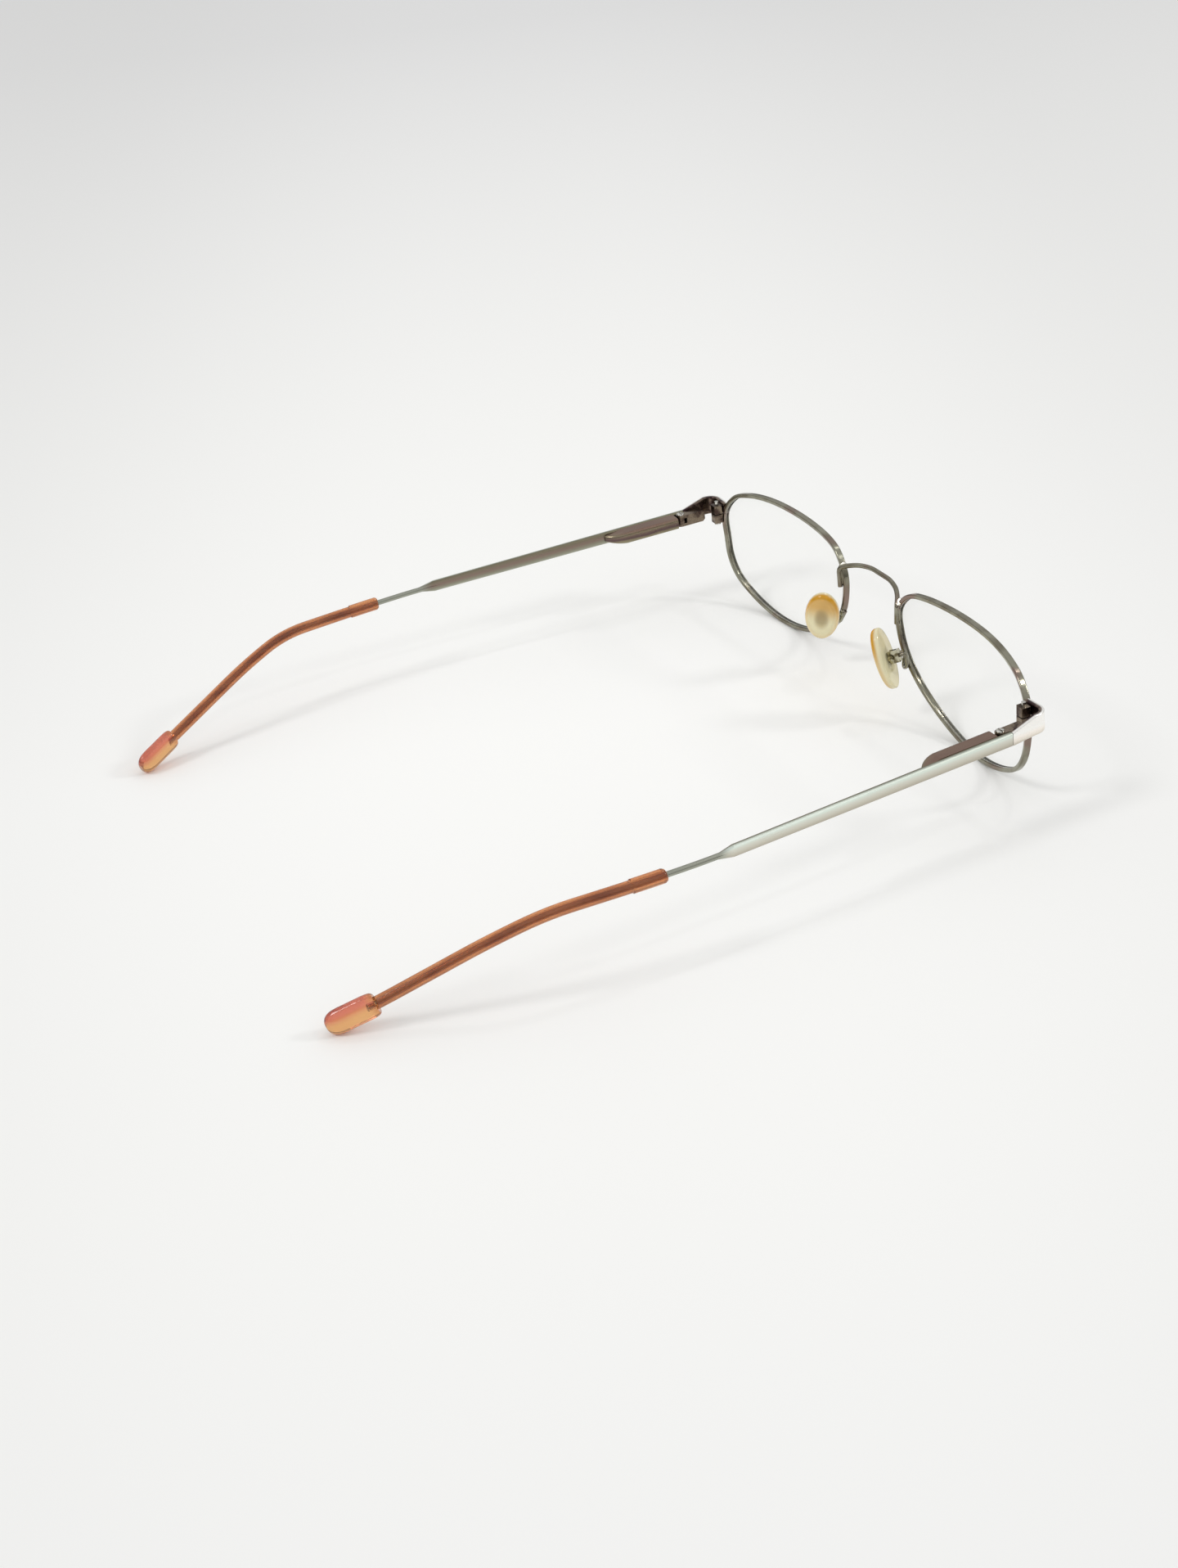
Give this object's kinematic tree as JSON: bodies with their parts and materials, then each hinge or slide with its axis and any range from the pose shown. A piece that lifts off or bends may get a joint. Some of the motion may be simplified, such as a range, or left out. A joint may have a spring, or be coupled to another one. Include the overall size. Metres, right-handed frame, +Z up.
{
  "type": "oval eyeglasses",
  "caption": "Thin metal spectacles with oval lenses, a wire bridge, rocking nose pads, sprung folding temples and amber moulded temple tips.",
  "frame": {"origin": "on the table under the centre of the bounding box of the open spectacles", "axes": "+X towards the wearer's left, +Y back from the front to the temple tips, +Z up"},
  "size_m": [0.1346, 0.1438, 0.0276],
  "materials": {
    "rim_metal": "polished gunmetal plating",
    "temple_metal": "satin pale olive-grey plating",
    "dark_metal": "satin brown-olive plating",
    "screw_metal": "bright turned metal",
    "spring_metal": "drawn spring wire",
    "lens": "clear, polished",
    "tip_plastic": "translucent amber brown, glossy",
    "pad_plastic": "translucent yellowed, glossy"
  },
  "bodies": {
    "front": {"bridge": "rim_metal", "left_rim": "rim_metal", "left_lens": "lens", "left_rim_lock_upper": "dark_metal", "left_rim_lock_lower": "dark_metal", "left_rim_lock_screw": "screw_metal", "left_endpiece": "temple_metal", "left_hinge_fork": "dark_metal", "left_hinge_screw": "screw_metal", "left_pad_arm": "rim_metal", "left_pad_box": "screw_metal", "left_pad_screw": "screw_metal", "right_rim": "rim_metal", "right_lens": "lens", "right_rim_lock_upper": "dark_metal", "right_rim_lock_lower": "dark_metal", "right_rim_lock_screw": "screw_metal", "right_endpiece": "temple_metal", "right_hinge_fork": "dark_metal", "right_hinge_screw": "screw_metal", "right_pad_arm": "rim_metal", "right_pad_box": "screw_metal", "right_pad_screw": "screw_metal"},
    "left_pad": {"left_nose_pad": "pad_plastic", "left_pad_core": "screw_metal"},
    "left_carriage": {"left_spring_carriage": "dark_metal", "left_rod_collar": "screw_metal"},
    "left_temple": {"left_temple_blade": "temple_metal", "left_spring_case": "dark_metal", "left_case_bushing": "screw_metal", "left_coil_spring": "spring_metal", "left_temple_tip": "tip_plastic"},
    "right_pad": {"right_nose_pad": "pad_plastic", "right_pad_core": "screw_metal"},
    "right_carriage": {"right_spring_carriage": "dark_metal", "right_rod_collar": "screw_metal"},
    "right_temple": {"right_temple_blade": "temple_metal", "right_spring_case": "dark_metal", "right_case_bushing": "screw_metal", "right_coil_spring": "spring_metal", "right_temple_tip": "tip_plastic"}
  },
  "joints": [
    {"name": "left_temple_fold", "type": "hinge", "parent": "front", "child": "left_carriage", "pos_m": [0.0612, -0.05791, 0.01875], "axis": [0.0013, 0.024, 0.9997], "range_deg": [0, 90]},
    {"name": "left_spring_travel", "type": "slide", "parent": "left_carriage", "child": "left_temple", "axis": [0.0541, 0.9982, -0.0241], "range_m": [0, 0.0012], "stiffness_N_per_m": 600, "springref_m": -0.004, "deforming": ["left_coil_spring"]},
    {"name": "left_pad_rock", "type": "hinge", "parent": "front", "child": "left_pad", "pos_m": [0.01314, -0.06535, 0.01314], "axis": [0.6189, 0.7703, 0.1538], "range_deg": [-10, 10]},
    {"name": "right_temple_fold", "type": "hinge", "parent": "front", "child": "right_carriage", "pos_m": [-0.0612, -0.05791, 0.01875], "axis": [0.0013, -0.024, -0.9997], "range_deg": [0, 85]},
    {"name": "right_spring_travel", "type": "slide", "parent": "right_carriage", "child": "right_temple", "axis": [-0.0541, 0.9982, -0.0241], "range_m": [0, 0.0012], "stiffness_N_per_m": 600, "springref_m": -0.004, "deforming": ["right_coil_spring"]},
    {"name": "right_pad_rock", "type": "hinge", "parent": "front", "child": "right_pad", "pos_m": [-0.01314, -0.06535, 0.01314], "axis": [0.6189, -0.7703, -0.1538], "range_deg": [-10, 10]}
  ]
}
